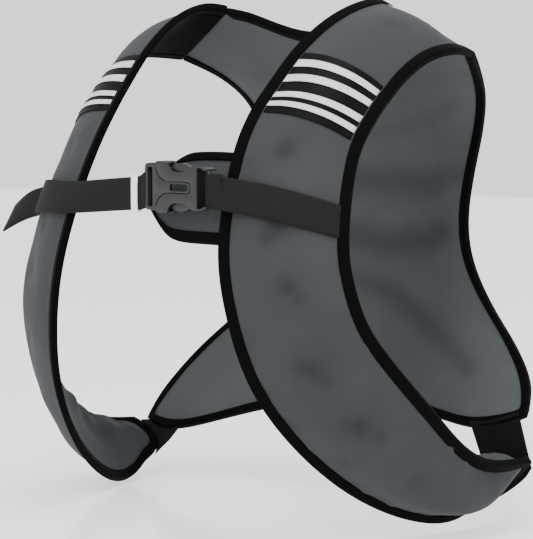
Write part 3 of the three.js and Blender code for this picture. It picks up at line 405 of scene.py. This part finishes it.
# Back panel: the same filled neoprene, waisted between the arm holes. Its inner face shows
# through the left arm hole, with soft folds where the vest bends to the wearer's back, most of them
# level. Each fold has its points in mm, how wide it is and how high, and less than 0 is a hollow.
FOLDS = (
    (((-60, 108, -137), (0, 109, -142), (60, 106, -140), (90, 98, -132)), 12, -3.2),
    (((-50, 109, -186), (10, 109, -192), (60, 108, -188), (75, 104, -182)), 12, -3.6),
    (((-60, 108, -162), (0, 109, -167), (50, 107, -166)), 13, 1.5),
    (((-40, 100, -222), (0, 99, -226), (25, 98, -232), (45, 94, -241), (62, 91, -250), (76, 88, -259),
      (95, 80, -269), (118, 69, -281), (132, 62, -289)), 10, -2.8),
    (((-10, 93, -104), (42, 91, -98), (80, 88, -84), (100, 82, -74)), 9, -1.4),
    (((-130, 62, -290), (-110, 71, -280), (-80, 84, -266)), 9, -1.6),
)
back = cloth_from("back_panel", "padded_back", levels=3)
free = hold_edges(back, "back_binding")
for points, width, high in FOLDS:
    fold(back, free, points, width, high)
ruffle(back, free, height=0.0016, size=0.05, seed=3, stretch=(0.35, 1, 1))
ruffle(back, free, height=0.0003, size=0.018, seed=9)
take_on(back, inner_neoprene, "neoprene", "back_panel")


# Chest pad: a small rounded tab of the same neoprene, lightly filled, sewn behind the neck edge
# of the left front so that the buckle doesn't press on the breastbone.
tab = cloth_from("chest_pad", "padded_tab", levels=3)
take_on(tab, neoprene, "neoprene", "chest_pad")


# Binding: black stretch tape folded over every raw edge and sewn through. It has a fine grain and
# hardly any shine.
tape = new_material("black stretch binding tape", {
    "Base Color": linear("#030303"), "Roughness": 0.85, "Specular IOR Level": 0.05,
    "Sheen Weight": 0.02, "Sheen Roughness": 0.5, "Sheen Tint": linear("#8a8a8c"),
})
add_relief(tape, object_noise(tape, Scale=700, Detail=1), strength=0.35, distance=0.0004)

# The ends of the neck tape are drawn out past the gap to the front tapes, by this many times the
# gap, and the pull fades over a length in metres
REACH_PAST = 1.8
REACH_FADE = 0.014


def reach_to(obj, binding):
    tree = tree_of(binding)
    found = [tree.find(vertex.co) for vertex in obj.data.vertices]
    nearest = min(range(len(found)), key=lambda i: found[i][2])
    gap = found[nearest][0] - obj.data.vertices[nearest].co
    for vertex, (_, _, away) in zip(obj.data.vertices, found):
        share = max(0, 1 - (away - gap.length) / REACH_FADE)
        vertex.co += gap * REACH_PAST * share


for node, name in (
    ("left_front_binding", "left_front_tape"),
    ("right_front_binding", "right_front_tape"),
    ("back_binding", "back_tape"),
    ("back_neck_binding", "back_neck_tape"),
    ("chest_pad_binding", "tab_tape"),
):
    edging = cloth_from(node, name, levels=2, corner=0.55)
    if name == "back_neck_tape":
        reach_to(edging, "left_front_binding")
        reach_to(edging, "right_front_binding")
    take_on(edging, tape, "binding_tape", node)


# Shoulder lining: smooth black cloth glued under each shoulder, from the seam to where the
# panel turns down to the chest. It lies in soft, uneven creases.
lining_cloth = new_material("black tricot lining", {
    "Base Color": linear("#020202"), "Roughness": 0.75, "Specular IOR Level": 0.03,
    "Sheen Weight": 0.03, "Sheen Roughness": 0.4, "Sheen Tint": linear("#7a7a80"),
})
add_relief(lining_cloth, object_noise(lining_cloth, Scale=55, Detail=3), strength=0.4, distance=0.003)
for side in ("left", "right"):
    lining = cloth_from(side + "_shoulder_lining", side + "_lining", levels=3)
    take_on(lining, lining_cloth, "shoulder_lining", side + "_shoulder_lining")


# Shoulder bands: a black woven band across each shoulder, heat-bonded, with four stripes of
# silver-white reflective tape on it in two pairs.
band_cloth = new_material("black woven band", {
    "Base Color": linear("#040405"), "Roughness": 0.5, "Specular IOR Level": 0.07,
})
add_relief(band_cloth, object_noise(band_cloth, Scale=90, Detail=4), strength=0.35, distance=0.0015)

# Reflective tape: glass beads in a silver-gray resin, bonded to cloth. It is almost white and
# nearly even, with a fine mottle.
silver = new_material("silver-white bead tape", {
    "Roughness": 0.42, "Specular IOR Level": 0.5,
})
beads = object_noise(silver, Scale=260, Detail=2)
drive(silver, "Base Color", mixed_colour(silver, beads, "#b4b4b7", "#cfcfd1"))

# Each stripe is drawn in to this share of its width, and shifts by a share of its distance from
# the outer stripe of its own pair, so that the stripes read as two pairs
STRIPE_WIDTH = 0.7
PAIRING = 0.05
OUTER_OF_PAIR = (0, 0, 3, 3)


def middle_line(obj):
    spots = np.array([v.co for v in obj.data.vertices])
    return [np.polynomial.Polynomial.fit(spots[:, X], spots[:, axis], deg=3) for axis in range(3)]


for side in ("left", "right"):
    band = cloth_from(side + "_shoulder_band", side + "_band", levels=3)
    take_on(band, band_cloth, "shoulder_band", side + "_shoulder_band")
    stripes = [cloth_from(f"{side}_stripe_{n}", f"{side}_silver_stripe_{n}", levels=2)
               for n in range(1, 5)]
    lines = [middle_line(stripe) for stripe in stripes]
    for number, (stripe, line, outer) in enumerate(zip(stripes, lines, OUTER_OF_PAIR), 1):
        for vertex in stripe.data.vertices:
            x = vertex.co.x
            centre = Vector([curve(x) for curve in line])
            shift = (Vector([curve(x) for curve in lines[outer]]) - centre) * PAIRING
            vertex.co = centre + (vertex.co - centre) * STRIPE_WIDTH + shift
        take_on(stripe, silver, "white_stripe", f"{side}_stripe_{number}")


# Elastics: black woven elastic with fine lengthwise ribs, at both sides of the waist and across
# the chest. u runs along the webbing in metres and v across it, so the ribs follow the strap. The
# wave texture at a scale of 1 has its bands WAVE_PITCH apart.
WAVE_PITCH = 0.314
PICK_SHARE = 0.35


def webbing_material(name, dark, light, rib_pitch):
    material = new_material(name, {
        "Roughness": 0.78, "Specular IOR Level": 0.12,
        "Sheen Weight": 0.04, "Sheen Roughness": 0.5, "Sheen Tint": linear("#8c8a88"),
    })
    uv = add_node(material, "ShaderNodeUVMap", {"uv_map": "webbing"})
    ribs = add_node(material, "ShaderNodeTexWave", {
        "wave_type": "BANDS", "bands_direction": "Y", "wave_profile": "SIN",
        "Scale": WAVE_PITCH / rib_pitch, "Distortion": 0.0,
    }, {"Vector": uv.outputs["UV"]})
    picks = add_node(material, "ShaderNodeTexNoise", {"Scale": 900, "Detail": 1},
                     {"Vector": uv.outputs["UV"]})
    drive(material, "Base Color", mixed_colour(material, ribs.outputs["Fac"], dark, light))
    mixed = add_node(material, "ShaderNodeMath", {"operation": "MULTIPLY_ADD", 1: PICK_SHARE},
                     {0: picks.outputs["Fac"], 2: ribs.outputs["Fac"]})
    add_relief(material, mixed.outputs[0], strength=0.35, distance=0.0005)
    return material


def sewn_end(obj, binding):
    tree = tree_of(binding)
    spots = sorted((v.co.copy() for v in obj.data.vertices), key=lambda spot: tree.find(spot)[2])
    nearest_quarter = spots[:len(spots) // 4]
    return sum(nearest_quarter, Vector()) / len(nearest_quarter)


def lay_flat(obj, run):
    spots = np.array([v.co for v in obj.data.vertices])
    thin = Vector(np.linalg.svd(spots - spots.mean(axis=0), full_matrices=False)[2][2])
    side_way = run.cross(thin)
    layer = obj.data.uv_layers.new(name="webbing")
    for loop in obj.data.loops:
        spot = obj.data.vertices[loop.vertex_index].co
        layer.data[loop.index].uv = (spot.dot(run), spot.dot(side_way))


# Waist elastics, each as long as the way between the two tapes and a tuck in metres at each end
side_elastic = webbing_material("black waist elastic", "#040404", "#0c0c0c", rib_pitch=0.0022)
for side, tuck in (("left", 0.006), ("right", 0.0025)):
    elastic = cloth_from(side + "_side_elastic", side + "_waist_elastic", levels=3)
    front = sewn_end(elastic, side + "_front_binding")
    rear = sewn_end(elastic, "back_binding")
    run = (rear - front).normalized()
    half = (rear - front).length / 2
    for vertex in elastic.data.vertices:
        share = (vertex.co - (front + rear) / 2).dot(run) / half
        vertex.co += run * (tuck * max(-1, min(1, share)))
    lay_flat(elastic, run)
    take_on(elastic, side_elastic, "elastic", side + "_side_elastic")


# Chest strap: two lengths of the same elastic, a little grayer. The left one is sewn round the
# bar of the socket, and its other end is moved by SEWN_SHIFT to the tape, which fades over
# SEWN_LENGTH. The right one turns back round the clip and its cut end hangs free.
SEWN_LENGTH = 0.03
SEWN_SHIFT = Vector((0.0045, 0.0085, -0.0012))


def lay_out(obj):
    spots = np.array([v.co for v in obj.data.vertices])
    middle = np.polynomial.Polynomial.fit(spots[:, X], spots[:, Z], deg=5)(spots[:, X])
    layer = obj.data.uv_layers.new(name="webbing")
    for loop in obj.data.loops:
        at = loop.vertex_index
        layer.data[loop.index].uv = (spots[at, X], spots[at, Z] - middle[at])


strap_elastic = webbing_material("charcoal chest elastic", "#100f0f", "#181716", rib_pitch=0.0014)
for side in ("left", "right"):
    strap = cloth_from(side + "_chest_strap", side + "_strap", levels=2)
    if side == "left":
        reach = max(v.co.x for v in strap.data.vertices)
        for vertex in strap.data.vertices:
            share = max(0, 1 - (reach - vertex.co.x) / SEWN_LENGTH)
            vertex.co += SEWN_SHIFT * share * share
    lay_out(strap)
    take_on(strap, strap_elastic, "elastic", side + "_chest_strap")

# The keeper is a loop of white elastic that holds the doubled strap flat beside the clip.
keeper_cloth = new_material("white keeper elastic", {
    "Base Color": linear("#e6e6e6"), "Roughness": 0.7,
})
keeper = cloth_from("strap_keeper", "keeper_loop", levels=2, corner=0.8)
take_on(keeper, keeper_cloth, "white_stripe", "strap_keeper")


# Buckle: a side-release buckle moulded in dark gray acetal. The skin is that of a spark-eroded
# mould: a fine grain with a soft shine.
acetal = new_material("moulded acetal, spark-eroded", {
    "Roughness": 0.3, "IOR": 1.48, "Specular IOR Level": 0.45,
})
skin = object_noise(acetal, Scale=1500, Detail=2)
drive(acetal, "Base Color", mixed_colour(acetal, skin, "#141516", "#202123"))
add_relief(acetal, skin, strength=0.15, distance=0.0002)

# An outline is a smooth curve through its points, in LOOP_STEPS steps from each to the next. Rims
# that turn more than ROUNDED_ABOVE are rounded off where a size is given for it, and in the finished
# piece the edges that turn more than SHARP_ABOVE are shaded sharp. BAR_RADIUS is in mm.
LOOP_STEPS = 5
ROUNDED_ABOVE = math.radians(60)
SHARP_ABOVE = math.radians(38)
BAR_RADIUS = 1.5


def smooth_loop(points):
    loop = []
    count = len(points)
    for i in range(count):
        p0, p1, p2, p3 = (Vector(points[(i + k) % count]) for k in (-1, 0, 1, 2))
        for step in range(LOOP_STEPS):
            t = step / LOOP_STEPS
            loop.append(0.5 * (2 * p1 + (p2 - p0) * t + (2 * p0 - 5 * p1 + 4 * p2 - p3) * t * t
                               + (3 * p1 - p0 - 3 * p2 + p3) * t ** 3))
    return loop


def both_halves(upper):
    return list(upper) + [(u, -v) for u, v in reversed(upper) if v > 0]


def moulded(bm, outline, front, rear, holes=(), round_off=0):
    layer = bmesh.new()
    edges = []
    for loop in [outline, *holes]:
        ring = [layer.verts.new((u / MM, front / MM, v / MM)) for u, v in smooth_loop(loop)]
        edges += [layer.edges.new((ring[i - 1], ring[i])) for i in range(len(ring))]
    bmesh.ops.triangle_fill(layer, use_beauty=True, use_dissolve=False, edges=edges)
    walls = bmesh.ops.extrude_face_region(layer, geom=list(layer.faces))
    moved = [item for item in walls["geom"] if isinstance(item, bmesh.types.BMVert)]
    bmesh.ops.translate(layer, verts=moved, vec=(0, (rear - front) / MM, 0))
    bmesh.ops.recalc_face_normals(layer, faces=layer.faces)
    if round_off:
        rims = [edge for edge in layer.edges
                if len(edge.link_faces) == 2 and edge.calc_face_angle(0) > ROUNDED_ABOVE]
        bmesh.ops.bevel(layer, geom=rims, offset=round_off / MM, segments=3, profile=0.5,
                        affect="EDGES", clamp_overlap=True)
    spare = bpy.data.meshes.new("spare")
    layer.to_mesh(spare)
    layer.free()
    bm.from_mesh(spare)
    bpy.data.meshes.remove(spare)


def bar(bm, u, length):
    made = bmesh.ops.create_cone(bm, cap_ends=True, segments=20, radius1=BAR_RADIUS / MM,
                                 radius2=BAR_RADIUS / MM, depth=length / MM)
    bmesh.ops.translate(bm, verts=made["verts"], vec=(u / MM, 0, 0))


def finish_moulding(bm, name, node):
    low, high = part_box("buckle_socket")
    centre = (Vector(low) + Vector(high)) / 2
    start_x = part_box("buckle_clip")[0][0]
    bmesh.ops.translate(bm, verts=bm.verts, vec=(start_x, centre.y, centre.z))
    mesh = bpy.data.meshes.new(name)
    bm.to_mesh(mesh)
    bm.free()
    obj = settle(bpy.data.objects.new(name, mesh))
    mesh.set_sharp_from_angle(angle=SHARP_ABOVE)
    take_on(obj, acetal, "buckle_plastic", node)


# All the outlines are in mm: along the buckle from the clip's bar, and up from its middle. Only
# the upper half is written, and it is mirrored. Front and rear are mm behind the buckle's middle.
MOUTH = ((48.4, 2), (47.6, 3.6), (45.7, 4.5), (42.3, 4.7), (34, 4.7), (25.4, 4.8), (21.6, 5.4),
         (18.3, 7.4), (15.8, 10.2), (14.1, 13.6), (13.4, 17))
SHOULDER = ((13.6, 18.6), (15.1, 19.2), (20, 19.3), (23.8, 19), (25.3, 17.5), (26.4, 15), (29, 12.6),
            (32.7, 11.6), (38, 11.4), (42.3, 12), (45.9, 13.6), (49.7, 15.8), (52, 16.5))
HORN = ((54, 16.6), (57, 16.2), (60.4, 15.6), (63, 14.8), (64, 13.8), (63.4, 13.1), (61.4, 13.4),
        (59.6, 14.2), (58.6, 14.9))
SLOT = ((55.4, 14.9), (54.8, 14.2), (54.7, 8))
CORE = ((50, 0), (50, 8), (50, 13), (52, 15.8), *HORN, *SLOT)
RAIL = ((14.2, 18.4), (15.4, 18.9), (20, 19), (23, 18.7), (23.8, 17.4), (22, 17), (15.2, 17))

# The socket: a face plate before and behind, the core that carries the bar, and a rail above and
# below the mouth
socket = bmesh.new()
plate = both_halves(MOUTH + SHOULDER + HORN + SLOT)
for front, rear in ((-5.5, -2.9), (2.9, 5.5)):
    moulded(socket, plate, front, rear, round_off=0.6)
moulded(socket, both_halves(CORE), front=-3, rear=3)
for way in (1, -1):
    moulded(socket, [(u, v * way) for u, v in RAIL], front=-3, rear=3)
bar(socket, u=62.4, length=28)
finish_moulding(socket, "socket_moulding", "buckle_socket")

# The clip: its frame round the strap, the tongue that lies in the socket's slot with a long hole
# in it, and two sprung prongs whose ears show in the scallops.
CLIP_FRAME = ((12.6, 0), (12.6, 10), (12.6, 15), (12, 17.2), (9.6, 17.8), (3, 17.4), (0.8, 16.2),
              (0.2, 14), (0, 8), (0, 0))
CLIP_HOLE = ((8, 0), (8, 10), (7.9, 14), (7.2, 14.6), (4, 14.6), (3.1, 14), (3, 10), (3, 0))
TONGUE = ((47.4, 0), (47.3, 1.8), (46.5, 3.1), (44.7, 3.8), (40.2, 3.9), (27.4, 3.9), (21.8, 4.5),
          (18.2, 6.2), (15.2, 9), (13.3, 12.4), (12.2, 14.4), (11, 12), (11, 0))
TONGUE_HOLE = ((45.4, 0), (45.2, 1.4), (44, 2.5), (40.2, 2.7), (31.7, 2.7), (28.9, 2.6), (27.7, 1.8),
               (27.4, 0))
PRONG = ((11, 13.4), (19, 13.5), (24.3, 14.3), (27.9, 16.2), (31.7, 17.5), (37, 17.8), (42.3, 16.6),
         (46.5, 14.2), (48, 11.8), (46.5, 10.8), (40.2, 10.2), (31.7, 9.7), (21, 9.8), (11, 9.7))

clip = bmesh.new()
moulded(clip, both_halves(CLIP_FRAME), front=-3.2, rear=3.2, holes=[both_halves(CLIP_HOLE)], round_off=0.7)
moulded(clip, both_halves(TONGUE), front=-5.1, rear=-2.6, holes=[both_halves(TONGUE_HOLE)], round_off=0.5)
for way in (1, -1):
    moulded(clip, [(u, v * way) for u, v in PRONG], front=-2.4, rear=2.4, round_off=0.8)
bar(clip, u=1.5, length=31)
finish_moulding(clip, "clip_moulding", "buckle_clip")
